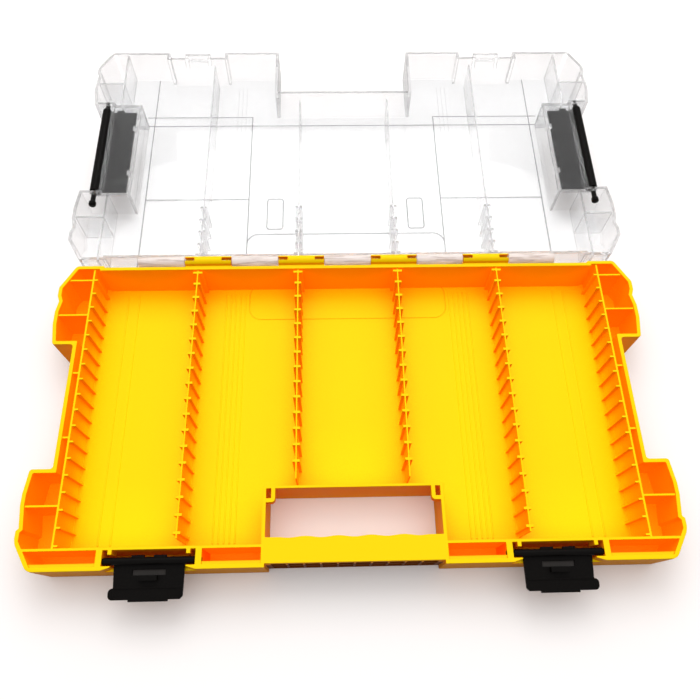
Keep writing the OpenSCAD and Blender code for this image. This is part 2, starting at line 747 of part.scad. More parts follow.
// The grooves in the right half of the outer face
module lid_grooves() {
    groove([field_x, platform_l - platform_r], [field_x, far_groove_y]);
    groove([side_groove_x, lid_near + lid_wall], [side_groove_x, lid_far - lid_wall]);
    groove([field_x, near_groove_y], [side_groove_x, near_groove_y]);
    groove([0, hand_groove_y], [ledge_x, hand_groove_y]);
    groove([field_x, far_groove_y], [ledge_x, far_groove_y]);
    translate([0, 0, -cut]) linear_extrude(groove_d + cut)
        groove_ring([frame_x - frame_w / 2, platform_l + frame_gap],
            [frame_x + frame_w / 2, platform_l + frame_gap + frame_l], frame_r);
}

// Low ridges of the lid, over some of those in the tray
module lid_ridges() {
    for (i = [0:2]) {
        x = ridge_x + i * ridge_pitch;
        block([x - ridge_w / 2, lid_near, 0],
            [x + ridge_w / 2, lid_far - recess_d - lid_wall - rail_end_gap, lid_top_t + ridge_h]);
    }
}

// One clear moulding, drawn with its outer face on the table
module lid_shell() {
    color(clear) at_hinge() difference() {
        union() {
            difference() {
                union() {
                    linear_extrude(ledge_z) polygon(lid_outline(ledge_x));
                    translate([0, 0, ledge_z - ledge_t])
                        linear_extrude(lid_h - ledge_z + ledge_t) polygon(lid_outline(notch_x));
                }
                translate([0, 0, lid_top_t]) linear_extrude(lid_h) polygon(inset(lid_outline(ledge_x), lid_wall));
                translate([0, 0, ledge_z]) linear_extrude(lid_h) polygon(inset(lid_outline(notch_x), lid_wall));
            }
            both_sides() lid_pocket_walls();
            both_sides() lid_clips();
            both_sides() lid_ridges();
        }
        translate([0, 0, -cut]) linear_extrude(groove_d + cut)
            groove_ring([-field_x, -platform_r], [field_x, platform_l], platform_r);
        both_sides() {
            lid_grooves();
            translate([side_pivot_x, 0, side_pivot_z])
                rod_y(notch_near - lid_wall - cut, notch_near + cut, pin_r + pin_fit);
            translate([side_pivot_x, 0, side_pivot_z])
                rod_y(notch_far - cut, notch_far + lid_wall + cut, pin_r + pin_fit);
        }
    }
}

// The middle of snap clip i on a side, 0 or 1
function clip_y(i) = hinge_y + (i - 0.5) * clip_pitch;

// Wedges under the free edge of a stowed side latch
module lid_clips() {
    for (i = [0, 1])
        translate([ledge_x, clip_y(i) + clip_l / 2, side_plate_z - side_plate_gap])
            rotate([90, 0, 0]) linear_extrude(clip_l) polygon([[-lid_wall / 2, 0], [clip_out, 0], [-lid_wall / 2, -clip_h]]);
}

module lid_rail(i) {
    far = abs(rail_xs[i]) > hand_side_x ? lid_far - recess_d - lid_wall - rail_end_gap
        : lid_hand - lid_wall - rail_end_gap;
    near = lid_near + lid_wall;
    color(clear) at_hinge()
        finned_rail(rail_xs[i], near, far, near + lid_fins_l, lid_top_t, lid_h - 2 * rail_drop - lid_top_t);
}

// The tab that a front latch hooks over, with a gusset at each end clear of the hook
module lid_catch() {
    back = lid_far - recess_d;
    top = lid_h - tab_drop;
    color(clear) at_hinge() {
        block([latch_x - tab_w / 2, back, top - tab_h], [latch_x + tab_w / 2, tab_far, top]);
        for (x = [latch_x - tab_w / 2, latch_x + tab_w / 2 - lid_wall])
            translate([x, 0, 0]) rotate([90, 0, 90]) linear_extrude(lid_wall)
                polygon([[back, top], [back, top - 3 * tab_h], [tab_far, top - tab_h], [tab_far, top]]);
    }
}

// ---- Side latches

module side_latch() {
    plate_far = barrel_far - side_plate_short;
    bevel = side_barrel_r - pin_r - pin_fit - 0.4;
    color(black) at_hinge() difference() {
        union() {
            translate([side_pivot_x, 0, side_pivot_z]) {
                rod_y(barrel_near, barrel_far - 2 * bevel, side_barrel_r);
                translate([0, barrel_far - 2 * bevel, 0]) rotate([-90, 0, 0])
                    cylinder(h = 2 * bevel, r1 = side_barrel_r, r2 = side_barrel_r - bevel);
            }
            block([side_plate_x, barrel_near, side_plate_z],
                [side_pivot_x, plate_far, side_plate_z + side_plate_t]);
            block([side_plate_x + thumb_in, plate_far - cut, side_plate_z],
                [side_plate_x + thumb_in + thumb_w, plate_far + thumb_l, side_plate_z + side_plate_t]);
        }
        translate([side_pivot_x, 0, side_pivot_z]) rod_y(barrel_near - cut, barrel_far + cut, pin_r + pin_seat);
        for (i = [0, 1])
            block([side_plate_x - cut, clip_y(i) - clip_l / 2 - clip_room, side_plate_z - cut],
                [ledge_x + clip_out + clip_room, clip_y(i) + clip_l / 2 + clip_room, side_plate_z + side_plate_t + cut]);
    }
}

// Headed pin, pushed in from the pocket on the hinge side
module side_latch_pin() {
    neck = notch_near - lid_wall - pin_neck_l;
    tail = notch_far + lid_wall + pin_tail_l;
    dome = pin_head_r / 3;
    color(black) at_hinge() translate([side_pivot_x, neck, side_pivot_z]) rotate([-90, 0, 0]) rotate_extrude()
        polygon([[0, -pin_head_l], [pin_head_r - dome, -pin_head_l], [pin_head_r, -pin_head_l + dome],
            [pin_head_r, -dome], [pin_r, 0], [pin_r, tail - neck], [0, tail - neck]]);
}

base_tray();
handle_grip();
divider_rail(0);  // divider_rail_outer_left
divider_rail(1);  // divider_rail_inner_left
divider_rail(2);  // divider_rail_inner_right
divider_rail(3);  // divider_rail_outer_right
mirror([1, 0, 0]) side_rack();  // side_rack_left
side_rack();  // side_rack_right
mirror([1, 0, 0]) front_frame();  // front_frame_left
front_frame();  // front_frame_right
tray_hinge_knuckles();
mirror([1, 0, 0]) front_latch();  // front_latch_left
front_latch();  // front_latch_right
lid_shell();
lid_hinge_knuckles();
lid_rail(0);  // lid_rail_outer_left
lid_rail(1);  // lid_rail_inner_left
lid_rail(2);  // lid_rail_inner_right
lid_rail(3);  // lid_rail_outer_right
mirror([1, 0, 0]) lid_catch();  // lid_catch_left
lid_catch();  // lid_catch_right
mirror([1, 0, 0]) side_latch();  // side_latch_left
side_latch();  // side_latch_right
mirror([1, 0, 0]) side_latch_pin();  // side_latch_pin_left
side_latch_pin();  // side_latch_pin_right
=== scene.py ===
import json

import bmesh
import bpy
import numpy as np
from mathutils import Euler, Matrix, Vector
from mathutils.bvhtree import BVHTree

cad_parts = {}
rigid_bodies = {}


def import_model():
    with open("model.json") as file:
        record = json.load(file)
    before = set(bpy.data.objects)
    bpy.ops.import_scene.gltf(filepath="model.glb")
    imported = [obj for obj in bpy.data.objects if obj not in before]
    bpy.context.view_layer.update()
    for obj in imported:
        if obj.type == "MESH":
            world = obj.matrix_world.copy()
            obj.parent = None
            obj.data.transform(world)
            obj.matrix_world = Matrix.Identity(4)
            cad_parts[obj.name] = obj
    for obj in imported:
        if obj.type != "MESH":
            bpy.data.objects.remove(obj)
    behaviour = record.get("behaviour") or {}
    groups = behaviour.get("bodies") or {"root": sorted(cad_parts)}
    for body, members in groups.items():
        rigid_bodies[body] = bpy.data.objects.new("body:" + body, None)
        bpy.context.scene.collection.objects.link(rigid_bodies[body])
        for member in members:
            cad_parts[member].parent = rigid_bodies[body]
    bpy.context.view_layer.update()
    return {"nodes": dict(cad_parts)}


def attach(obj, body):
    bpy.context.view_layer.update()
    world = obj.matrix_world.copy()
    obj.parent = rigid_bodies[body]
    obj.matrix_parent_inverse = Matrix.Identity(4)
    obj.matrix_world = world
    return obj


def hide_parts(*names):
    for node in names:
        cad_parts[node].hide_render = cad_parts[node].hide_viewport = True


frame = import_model()
scene = bpy.context.scene

# ---------------------------------------------------------------------------
# Tray: one injection moulding of yellow plastic. Its walls, finned rails, side racks, grip bar and
# hinge knuckles run into each other without a joint. Its edges have the small rounds of the mould,
# and its outer walls the draft that lets it come out.

TRAY_NODES = [
    "base_tray", "handle_grip",
    "divider_rail_outer_left", "divider_rail_inner_left",
    "divider_rail_inner_right", "divider_rail_outer_right",
    "side_rack_left", "side_rack_right",
    "front_frame_left", "front_frame_right", "tray_hinge_knuckles",
]
MM = 0.001
X, Y, Z = 0, 1, 2
FAR = 1000  # a limit that nothing reaches, in millimetres
EVERYWHERE = ((-FAR,) * 3, (FAR,) * 3)

TRAY_EDGE = 0.28 * MM  # round on each sharp edge
SHARP = 0.6            # least turn of a sharp edge, in radians
FLAT = 0.01            # most turn inside a flat area, in radians
PARALLEL = 0.9995      # least cosine between two directions that count as one
ONE_POINT = 1e-6       # corners this close are one, in metres
ON_PLANE = 1e-7        # corners this close to a seam's plane lie on it, in metres
TOUCHING = 5e-6        # surfaces this close lie against each other, in metres
SINK = 0.03 * MM       # how far a part goes into the wall that it stands against
STEEP = 0.2            # least slope of an edge that can be made longer into a wall
ONE_LINE = 0.85        # least cosine between two edges that run on as one line
EDGE_ROOM = 0.4        # share of a short edge that a round beside it may take
RISE = 0.98            # least share of its length that an upright edge rises
LEAST_TURN = 0.2       # upright edges that turn less stay as they are, in radians
AT_CORNER = 0.05       # an outer edge lies this close to its corner, in millimetres
WALL_REACH = 4         # and the wall's inner edge this close

# The hinge's axis, and the middle plane and pivot of a front latch, in millimetres
HINGE_Y, HINGE_Z = 96.25, 27
LATCH_X, LATCH_Y, LATCH_Z = 109, -88.75, 24.6

# Seams across the flat areas that have holes: the hand opening, the notches, the bores of the hinge
# and of the latches, and the cores in the grip's front
GRIP_FRONT = ((-50, -93, 0), (50, -91, 27))
TRAY_CUTS = [
    (X, 0.37, *EVERYWHERE), (Y, 33.3, *EVERYWHERE), (Y, -61.3, *EVERYWHERE),
    (Y, HINGE_Y, *EVERYWHERE), (Z, LATCH_Z, *EVERYWHERE),
    (X, LATCH_X + 0.1, *EVERYWHERE), (X, -LATCH_X - 0.1, *EVERYWHERE),
    (Z, 7.9, *GRIP_FRONT), (Z, 19.1, *GRIP_FRONT),
]
# Corners of the outline: the lobes' front and back ones, then the four of a side notch
TRAY_ROUNDS = [
    (172, -93.75, 5, 0), (181, -78.25, 9, 0), (172, 93.75, 3, 0.7), (181, 78.25, 3, 0.7),
    (166.7, -38.5, 1.8, 0.6), (179.2, -38.5, 1.8, 0.6),
    (166.7, 38.5, 1.8, 0.6), (179.2, 38.5, 1.8, 0.6),
]
TRAY_DRAFT = (24.6, 0.0072, 0.0139)  # each side is 1.3 mm farther in at the table


def merged_copy(node):
    """A copy of a node's mesh with its doubled corners merged."""
    mesh = frame["nodes"][node].data.copy()
    if "custom_normal" in mesh.attributes:
        mesh.attributes.remove(mesh.attributes["custom_normal"])
    bm = bmesh.new()
    bm.from_mesh(mesh)
    bmesh.ops.remove_doubles(bm, verts=bm.verts, dist=ONE_POINT)
    bm.to_mesh(mesh)
    bm.free()
    return bpy.data.objects.new(node + "_part", mesh)


def sink_contacts(part, host, depth):
    """Where a face of part lies against a sloping face of host, the part's edges that end there are
    made longer, so that the face goes into the host by depth and the two shells join."""
    bm = bmesh.new()
    bm.from_mesh(host.data)
    tree = BVHTree.FromBMesh(bm)
    bm.free()
    bm = bmesh.new()
    bm.from_mesh(part.data)
    bm.normal_update()
    moves = []
    for corner in bm.verts:
        own = [f.normal.copy() for f in corner.link_faces]
        hits = tree.find_nearest_range(corner.co, TOUCHING)
        for normal in {tuple(round(x, 3) for x in hit[1]) for hit in hits}:
            normal = Vector(normal)
            sloping = max(abs(x) for x in normal) < PARALLEL
            if not sloping or all(normal.dot(n) > -PARALLEL for n in own):
                continue
            edges = [e for e in corner.link_edges if e.calc_face_angle(0) > FLAT]
            ways = [(corner.co - e.other_vert(corner).co).normalized() for e in edges]
            way = min(ways, key=lambda w: w.dot(normal))
            if way.dot(normal) < -STEEP:
                moves.append((corner, way * depth / -way.dot(normal)))
    for corner, move in moves:
        corner.co += move
    bm.to_mesh(part.data)
    bm.free()


def split_flats(bm, cuts):
    """Dissolves each flat area into one face, but keeps seams where the planes of cuts cross it, so
    that no face has a hole in it. A cut is (axis, place, low, high): it reaches faces whose middle
    lies between the corners low and high, all in millimetres."""
    bmesh.ops.dissolve_limit(
        bm, angle_limit=FLAT, verts=bm.verts, edges=bm.edges, delimit=set())
    bmesh.ops.triangulate(bm, faces=bm.faces, quad_method="BEAUTY", ngon_method="BEAUTY")
    for axis, place, low, high in cuts:
        faces = [f for f in bm.faces if all(
            low[k] * MM <= f.calc_center_median()[k] <= high[k] * MM for k in range(3))]
        edges = list(dict.fromkeys(e for f in faces for e in f.edges))
        corners = list(dict.fromkeys(v for f in faces for v in f.verts))
        normal, point = Vector((0, 0, 0)), Vector((0, 0, 0))
        normal[axis], point[axis] = 1, place * MM
        made = bmesh.ops.bisect_plane(
            bm, geom=corners + edges + faces, dist=ON_PLANE, plane_co=point, plane_no=normal)
        for part in made["geom_cut"]:
            if isinstance(part, bmesh.types.BMEdge):
                part.seam = True
    bmesh.ops.dissolve_limit(
        bm, angle_limit=FLAT, verts=bm.verts, edges=bm.edges, delimit={"SEAM"})


def way_along(edge):
    """The direction of an edge."""
    return (edge.verts[1].co - edge.verts[0].co).normalized()


def edge_rounds(bm, widest):
    """Gives each sharp edge its share of the widest round: all of it, or less where an edge that
    leaves one of its ends is so short that the rounds of both would meet in it."""
    share = bm.edges.layers.float.new("bevel_weight_edge")
    for edge in bm.edges:
        if not edge.is_manifold or edge.calc_face_angle() < SHARP:
            continue
        along = way_along(edge)
        leaving = [g for v in edge.verts for g in v.link_edges if g is not edge]
        room = [g.calc_length() for g in leaving if abs(way_along(g).dot(along)) < ONE_LINE]
        edge[share] = min([1.0] + [EDGE_ROOM * length / widest for length in room])


def round_corners(bm, rounds):
    """Rounds upright edges. Each of rounds is (x, y, radius, inner), in millimetres, for a corner
    of the outline on the right and its mirror image. inner is the round on the wall's inner
    edge."""
    bm.normal_update()
    for x, y, radius, inner_radius in rounds:
        for way in (-1, 1):
            outer, inner = [], []
            for edge in bm.edges:
                a, b = (v.co / MM for v in edge.verts)
                off = max(((v - Vector((way * x, y, v.z))).length for v in (a, b)))
                upright = abs(a.z - b.z) >= RISE * (a - b).length
                if off > WALL_REACH or not upright or edge.calc_face_angle(0) < LEAST_TURN:
                    continue
                (outer if off < AT_CORNER else inner).append(edge)
            for edges, r in ((outer, radius), (inner, inner_radius)):
                if r == 0:
                    continue
                for turn in sorted({round(e.calc_face_angle(0), 2) for e in edges if e.is_valid}):
                    same = [
                        e for e in edges
                        if e.is_valid and abs(e.calc_face_angle(0) - turn) < FLAT]
                    bmesh.ops.bevel(
                        bm, geom=same, offset=r * MM * np.tan(turn / 2), offset_type="OFFSET",
                        segments=5, profile=0.5, affect="EDGES", clamp_overlap=True)


def moulding(name, nodes, body, edge, cuts, rounds=(), draft=None):
    """One closed shell out of one or more nodes: their union, with a round of radius edge along
    every sharp edge. rounds are the upright corners that get a larger one first. draft is (height,
    x, y): below that height the shell narrows evenly, down to those shares less at the table. The
    piece rides on body and stands for the nodes."""
    parts = bpy.data.collections.new(name + "_parts")
    scene.collection.children.link(parts)
    first = merged_copy(nodes[0])
    scene.collection.objects.link(first)
    for node in nodes[1:]:
        part = merged_copy(node)
        sink_contacts(part, first, SINK)
        parts.objects.link(part)
    if len(nodes) > 1:
        join = first.modifiers.new("join", "BOOLEAN")
        join.operation = "UNION"
        join.operand_type = "COLLECTION"
        join.collection = parts
    joined = first.evaluated_get(bpy.context.evaluated_depsgraph_get())
    mesh = bpy.data.meshes.new_from_object(joined)
    for obj in [first, *parts.objects]:
        bpy.data.objects.remove(obj)
    bpy.data.collections.remove(parts)
    bm = bmesh.new()
    bm.from_mesh(mesh)
    bmesh.ops.remove_doubles(bm, verts=bm.verts, dist=2 * ONE_POINT)
    split_flats(bm, cuts)
    round_corners(bm, rounds)
    if draft:
        height, share_x, share_y = draft
        for corner in bm.verts:
            down = max(0, 1 - corner.co.z / (height * MM))
            corner.co.x *= 1 - share_x * down
            corner.co.y *= 1 - share_y * down
    edge_rounds(bm, edge)
    bm.to_mesh(mesh)
    bm.free()
    mesh.name = name
    mesh.materials.clear()
    mesh.polygons.foreach_set("material_index", np.zeros(len(mesh.polygons), np.int32))
    mesh.polygons.foreach_set("use_smooth", np.ones(len(mesh.polygons), bool))
    piece = bpy.data.objects.new(name, mesh)
    scene.collection.objects.link(piece)
    round_off = piece.modifiers.new("edges", "BEVEL")
    round_off.width = edge
    round_off.segments = 2
    round_off.limit_method = "WEIGHT"
    round_off.use_clamp_overlap = False
    shade = piece.modifiers.new("flat_shading", "WEIGHTED_NORMAL")
    shade.mode = "FACE_AREA"
    shade.weight = 100
    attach(piece, body)
    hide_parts(*nodes)
    return piece


def face_rows(mesh, value):
    """A value of each face that has three numbers, its normal or its center, one row each."""
    rows = np.empty(3 * len(mesh.polygons))
    mesh.polygons.foreach_get(value, rows)
    return rows.reshape(-1, 3)


def face_share(mesh, name, share):
    """Writes a share for each face, which a material reads by its name."""
    layer = mesh.attributes.new(name, "FLOAT", "FACE")
    layer.data.foreach_set("value", share.astype(np.float32))


def new_material(name):
    """An empty node material, with its node tree and its Principled shader."""
    material = bpy.data.materials.new(name)
    material.use_nodes = True
    return material, material.node_tree, material.node_tree.nodes["Principled BSDF"]


def feed(tree, node, inputs):
    """Gives sockets of a node their values. The output of another node is linked to its socket."""
    for socket, value in inputs.items():
        if isinstance(value, bpy.types.NodeSocket):
            tree.links.new(value, node.inputs[socket])
        else:
            node.inputs[socket].default_value = value


def put(tree, kind, inputs=None, **settings):
    """Adds a node with its settings, and feeds its inputs."""
    node = tree.nodes.new("ShaderNode" + kind)
    for name, value in settings.items():
        setattr(node, name, value)
    feed(tree, node, inputs or {})
    return node


def reckon(tree, operation, *values, clamp=False):
    """The result of an operation on up to three values."""
    inputs = dict(enumerate(values))
    return put(tree, "Math", inputs, operation=operation, use_clamp=clamp).outputs[0]


def slide(tree, value, low, high, start, stop):
    """A level that goes from start to stop while value goes from low to high."""
    inputs = {"Value": value, "From Min": low, "From Max": high, "To Min": start, "To Max": stop}
    return put(tree, "MapRange", inputs).outputs["Result"]


def ramp(tree, value, stops):
    """A colour that changes with value. Each stop is (value, (red, green, blue))."""
    node = put(tree, "ValToRGB", {"Fac": value})
    elements = node.color_ramp.elements
    elements.remove(elements[1])
    elements[0].position = stops[0][0]
    elements[0].color = (*stops[0][1], 1)
    for place, colour in stops[1:]:
        elements.new(place).color = (*colour, 1)
    return node.outputs["Color"]


def blend(tree, share, a, b):
    """A colour between a, where share is 0, and b, where it is 1."""
    node = put(tree, "Mix", {"Factor": share, "A": a, "B": b}, data_type="RGBA")
    return node.outputs["Result"]


def noise(tree, place, scale, detail):
    """Soft random spots on a place in space, scale of them to a metre."""
    inputs = {"Vector": place, "Scale": scale, "Detail": detail}
    return put(tree, "TexNoise", inputs).outputs["Fac"]


def grained(tree, grain, strength):
    """A normal that follows a grain 0.2 mm high."""
    inputs = {"Strength": strength, "Distance": 0.2 * MM, "Height": grain}
    return put(tree, "Bump", inputs).outputs["Normal"]


# Painted shade: how green the yellow is, from shut in to open, orange between the walls where shade
# falls, yellow on the open floor
SHADE_GREENS = (
    (0.15, 0.28), (0.27, 0.37), (0.5, 0.39), (0.62, 0.46), (0.7, 0.62), (0.78, 0.84), (0.93, 0.70))
# Painted shade: the dark brown of the cores in the grip's front
CORE_SHADE_BROWN = (0.20, 0.055, 0.006, 1)
# Painted glow: an orange light added where the moulding shuts a spot in, though the plastic is no
# lamp
PAINTED_GLOW_ORANGE = (1, 0.2, 0, 1)
PAINTED_GLOW = 0.35       # strength of that light where a spot is fully shut in
NEIGHBOURS = 0.045   # walls farther off than this don't shut a spot in, in metres
BAY_BOTTOM, BAY_TOP = 3 * MM, 27 * MM


def yellow_plastic():
    """Yellow plastic with painted shade and painted light. The colour is painted from yellow to
    orange where the walls face each other, by how much of the moulding itself stands around a point
    and by how far the face looks up, as shade and the light bounced from wall to wall would turn
    it.
    Walls that face a bay get painted light, yellower near its floor, and a painted orange glow, as
    if light seeped through the thin walls, adds a little orange where a spot is shut in. The cores
    and recesses get painted shade. A slow cloud changes the gloss, and a fine grain lies in the
    bump."""
    material, tree, shader = new_material("yellow_plastic")
    place = put(tree, "TexCoord").outputs["Object"]
    height = put(tree, "SeparateXYZ", {"Vector": place}).outputs["Z"]
    lie = put(tree, "NewGeometry").outputs["True Normal"]
    upward = put(tree, "SeparateXYZ", {"Vector": lie}).outputs["Z"]
    # Painted shade: the colour goes from yellow to orange by how much of the moulding stands around
    # a point and how far the face looks up
    clear_of = put(
        tree, "AmbientOcclusion", {"Distance": NEIGHBOURS}, samples=6, only_local=True)
    half_open = reckon(tree, "MULTIPLY", clear_of.outputs["AO"], 0.5)
    open_to = reckon(tree, "MULTIPLY_ADD", upward, 0.5, half_open)
    # Painted light: walls that face a bay are painted yellower near its floor, as if lit from it
    painted_floor_light = put(tree, "Attribute", attribute_name="painted_floor_light").outputs["Fac"]
    near_floor = slide(tree, height, BAY_BOTTOM, BAY_TOP, 0.5, 0.05)
    lit = reckon(tree, "MULTIPLY_ADD", near_floor, painted_floor_light, open_to)
    tint = ramp(tree, lit, [(stop, (1, green, 0)) for stop, green in SHADE_GREENS])
    # Painted glow: only on the faces that this attribute marks, and stronger where the moulding
    # shuts a spot in
    thin = put(tree, "Attribute", attribute_name="painted_glow_share").outputs["Fac"]
    glow_level = reckon(tree, "MULTIPLY_ADD", clear_of.outputs["AO"], -PAINTED_GLOW, PAINTED_GLOW)
    # Painted shade: the cores go dark brown, and the front boxes, the fins and the pockets' backs
    # part of the way
    cored = put(tree, "Attribute", attribute_name="cored").outputs["Fac"]
    feed(tree, shader, {
        "Base Color": blend(tree, cored, tint, CORE_SHADE_BROWN),
        "Roughness": slide(tree, noise(tree, place, 14, 3), 0, 1, 0.42, 0.52),
        "Specular IOR Level": 0.07,
        "Emission Color": PAINTED_GLOW_ORANGE,
        "Emission Strength": reckon(tree, "MULTIPLY", glow_level, thin),
        "Normal": grained(tree, noise(tree, place, 1600, 2), 0.05),
    })
    return material


tray = moulding("tray_moulding", TRAY_NODES, "tray", TRAY_EDGE, TRAY_CUTS, TRAY_ROUNDS, TRAY_DRAFT)
tray.data.materials.append(yellow_plastic())

# Zones of the tray: from and to in millimetres, sideways from the middle, backwards and upwards.
# The outer faces of the notches' back walls look the same way as the backs of the pockets
ALL = (-FAR, FAR)
GRIP = ((-FAR, 50.5), (-FAR, -51), ALL)
LATCH_BAYS = ((LATCH_X - 28.6, LATCH_X + 28.6), (-FAR, -82.3), ALL)
CORES = ((-FAR, 45.5), (-91.2, -79.9), (2.5, 24.5))
FRONT_BOXES = ((-FAR, 172), (-92.5, -83.2), (-FAR, 26.9))
BAYS = ((-FAR, 161), (-82, 82), (2.9, FAR))
NOTCH_STRIPS = ((160.5, 165.2), (-38.6, 38.6), ALL)
POCKETS = ((160.5, FAR), (-83, 92.6), (2.9, FAR))
NOTCH_BACKS = (ALL, (38.5 - 1.2, 38.5 + 1.2), ALL)
HAND_OPENING = (ALL, (-79, FAR), ALL)
BEHIND_PIVOTS = (ALL, (-90, FAR), ALL)
BACK_WALL_FACE = 92.6
TOWARDS = 0.7  # least share of an axis in the normal of a face that looks along it
UPRIGHT = 0.5  # most share of the upright axis in the normal of an upright face
STRIP_LIGHT, HOLE_LIGHT = 2.5, 0.5  # against 1 for the walls of the bays
BOX_SHADE, FIN_SHADE, POCKET_SHADE = 0.2, 0.35, 0.15  # against 1 for the cores

middle = face_rows(tray.data, "center") / MM
middle[:, X] = np.abs(middle[:, X])
facing = face_rows(tray.data, "normal")


def inside(zone):
    """Which faces of the tray have their middle in a zone."""
    limits = zip(middle.T, zone)
    return np.all([(place > low) & (place < high) for place, (low, high) in limits], axis=0)


# A painted glow lies in the compartments, but not in the grip, the hand opening or the latch bays.
# Painted shade makes the cores in the grip's front dark, and the front boxes, the fins and the
# backs of the pockets a little darker than the bays. Walls that face a bay get painted floor light
grip, latch_bays = inside(GRIP), inside(LATCH_BAYS)
bays = inside(BAYS) & ~grip
boxes = inside(FRONT_BOXES) & ~(grip | latch_bays)
fins = bays & (np.abs(facing[:, Y]) > TOWARDS)
pocket_backs = inside(POCKETS) & ~inside(NOTCH_BACKS) & (facing[:, Y] < -TOWARDS)
sideways = np.abs(facing[:, X]) > TOWARDS
hole_walls = (np.abs(facing[:, Z]) < UPRIGHT) & (
    (grip & inside(HAND_OPENING)) | (latch_bays & inside(BEHIND_PIVOTS)))
# Painted glow on all faces but those of the grip, the latch bays and the back wall's far side
face_share(tray.data, "painted_glow_share", ~(grip | latch_bays | (middle[:, Y] > BACK_WALL_FACE)))
# Painted light from the floor on the walls that face a bay, the notches' strips and the holes'
# walls
face_share(tray.data, "painted_floor_light", (
    sideways * (bays + STRIP_LIGHT * inside(NOTCH_STRIPS)) + HOLE_LIGHT * hole_walls))
# Painted shade in the cores, the front boxes, the fins and the pockets' backs
face_share(tray.data, "cored", (
    inside(CORES) + BOX_SHADE * boxes + FIN_SHADE * fins + POCKET_SHADE * pocket_backs))

# ---------------------------------------------------------------------------
# Lid: one injection moulding of clear plastic, turned right back on its hinge. The stubs of its
# knuckles snap into the bores of the tray's. The knuckles get painted refraction, pale and dark
# streaks for the light that their thick plastic bends, and the grooves in the panel get painted
# shade, so that they show as thin dark lines.

LID_NODES = [
    "lid_shell", "lid_hinge_knuckles",
    "lid_rail_outer_left", "lid_rail_inner_left",
    "lid_rail_inner_right", "lid_rail_outer_right",
    "lid_catch_left", "lid_catch_right",
]
LID_EDGE = 0.3 * MM
# Seams across the hinge's and latches' bores, the front wall's openings and the grooves' rings
LID_CUTS = [
    (X, 0.37, *EVERYWHERE), (Y, 209.3, *EVERYWHERE), (Y, HINGE_Y, *EVERYWHERE),
    (Z, 23.2, *EVERYWHERE),
    (X, LATCH_X + 0.1, *EVERYWHERE), (X, -LATCH_X - 0.1, *EVERYWHERE),
    (X, 150.3, *EVERYWHERE), (X, -150.3, *EVERYWHERE), (Y, 131.3, *EVERYWHERE),
]
LID_ROUNDS = [
    (172, 282.25, 5, 0), (181, 266.75, 9, 0), (172, 98.75, 3, 0.7), (181, 114.25, 3, 0.7)]
# Painted refraction on the knuckles and painted shade in the grooves: the dark and the pale colour
# of their streaks
KNUCKLE_REFRACTION = ((0.66, 0.57, 0.53), (1.0, 0.95, 0.92))
SHADED = ((0.05, 0.05, 0.05), (0.35, 0.35, 0.37))
KNUCKLE_REFRACTION_AIR, SHADED_AIR = 0.3, 0.4  # shares of plain see-through
STRAIGHT = 0.28             # share of rays that pass the clear plastic as if it weren't there
KNUCKLE_RADIUS = 3.4        # just over a knuckle's, in millimetres
KNUCKLE_PITCH = 29.65       # from a knuckle of the tray to the next one of the lid
GROOVE_FLOOR = (0.1, 0.45)  # from and to, above the panel's outer face


def partly_air(tree, shader, share):
    """Lets a share of the rays pass a surface as if it weren't there."""
    air = put(tree, "BsdfTransparent")
    mix = put(tree, "MixShader", {"Fac": share, 1: shader.outputs["BSDF"], 2: air.outputs["BSDF"]})
    feed(tree, tree.nodes["Material Output"], {"Surface": mix.outputs["Shader"]})


def clear_plastic():
    """Clear plastic with a slight haze, which takes up a little light inside. Rays towards the
    lamps pass it as through air, so what it covers is lit, and a share of the others does, so that
    its thin walls stay pale."""
    material, tree, shader = new_material("clear_plastic")
    place = put(tree, "TexCoord").outputs["Object"]
    feed(tree, shader, {
        "Base Color": (0.97, 0.975, 0.98, 1),
        "Roughness": slide(tree, noise(tree, place, 30, 2), 0, 1, 0.01, 0.05),
        "IOR": 1.49,
        "Specular IOR Level": 0.22,
        "Transmission Weight": 1,
    })
    depth = put(tree, "VolumeAbsorption", {"Color": (0.55, 0.52, 0.54, 1), "Density": 9})
    feed(tree, tree.nodes["Material Output"], {"Volume": depth.outputs["Volume"]})
    to_lamp = put(tree, "LightPath").outputs["Is Shadow Ray"]
    partly_air(tree, shader, reckon(tree, "MAXIMUM", to_lamp, STRAIGHT))
    return material


def streaked_plastic(name, colours, air_share):
    """The clear plastic with painted streaks between a dark and a pale colour, drawn out along the
    hinge line, and a share of plain see-through: painted refraction on the knuckles, painted shade
    in the grooves."""
    material, tree, shader = new_material(name)
    dark, pale = colours
    place = put(tree, "TexCoord").outputs["Object"]
    stretched = put(tree, "Mapping", {"Vector": place, "Scale": (1, 12, 12)}).outputs["Vector"]
    streaks = noise(tree, stretched, 60, 4)
    feed(tree, shader, {
        "Base Color": ramp(tree, streaks, [(0.42, dark), (0.5, pale)]),
        "Roughness": 0.3,
    })
    partly_air(tree, shader, air_share)
    return material


lid = moulding("lid_moulding", LID_NODES, "lid", LID_EDGE, LID_CUTS, LID_ROUNDS)
lid.data.materials.append(clear_plastic())
lid.data.materials.append(streaked_plastic("painted_refraction_knuckles", KNUCKLE_REFRACTION, KNUCKLE_REFRACTION_AIR))
lid.data.materials.append(streaked_plastic("shaded_grooves", SHADED, SHADED_AIR))
# Painted refraction on the lid's own knuckles, and painted shade in the panel's grooves
x, y, z = face_rows(lid.data, "center").T / MM
own_knuckle = np.round(x / KNUCKLE_PITCH) % 2 == 0
in_knuckle = (np.hypot(y - HINGE_Y, z - HINGE_Z) < KNUCKLE_RADIUS) & own_knuckle
in_groove = (z > GROOVE_FLOOR[0]) & (z < GROOVE_FLOOR[1])
lid.data.polygons.foreach_set("material_index", (in_knuckle + 2 * in_groove).astype(np.int32))

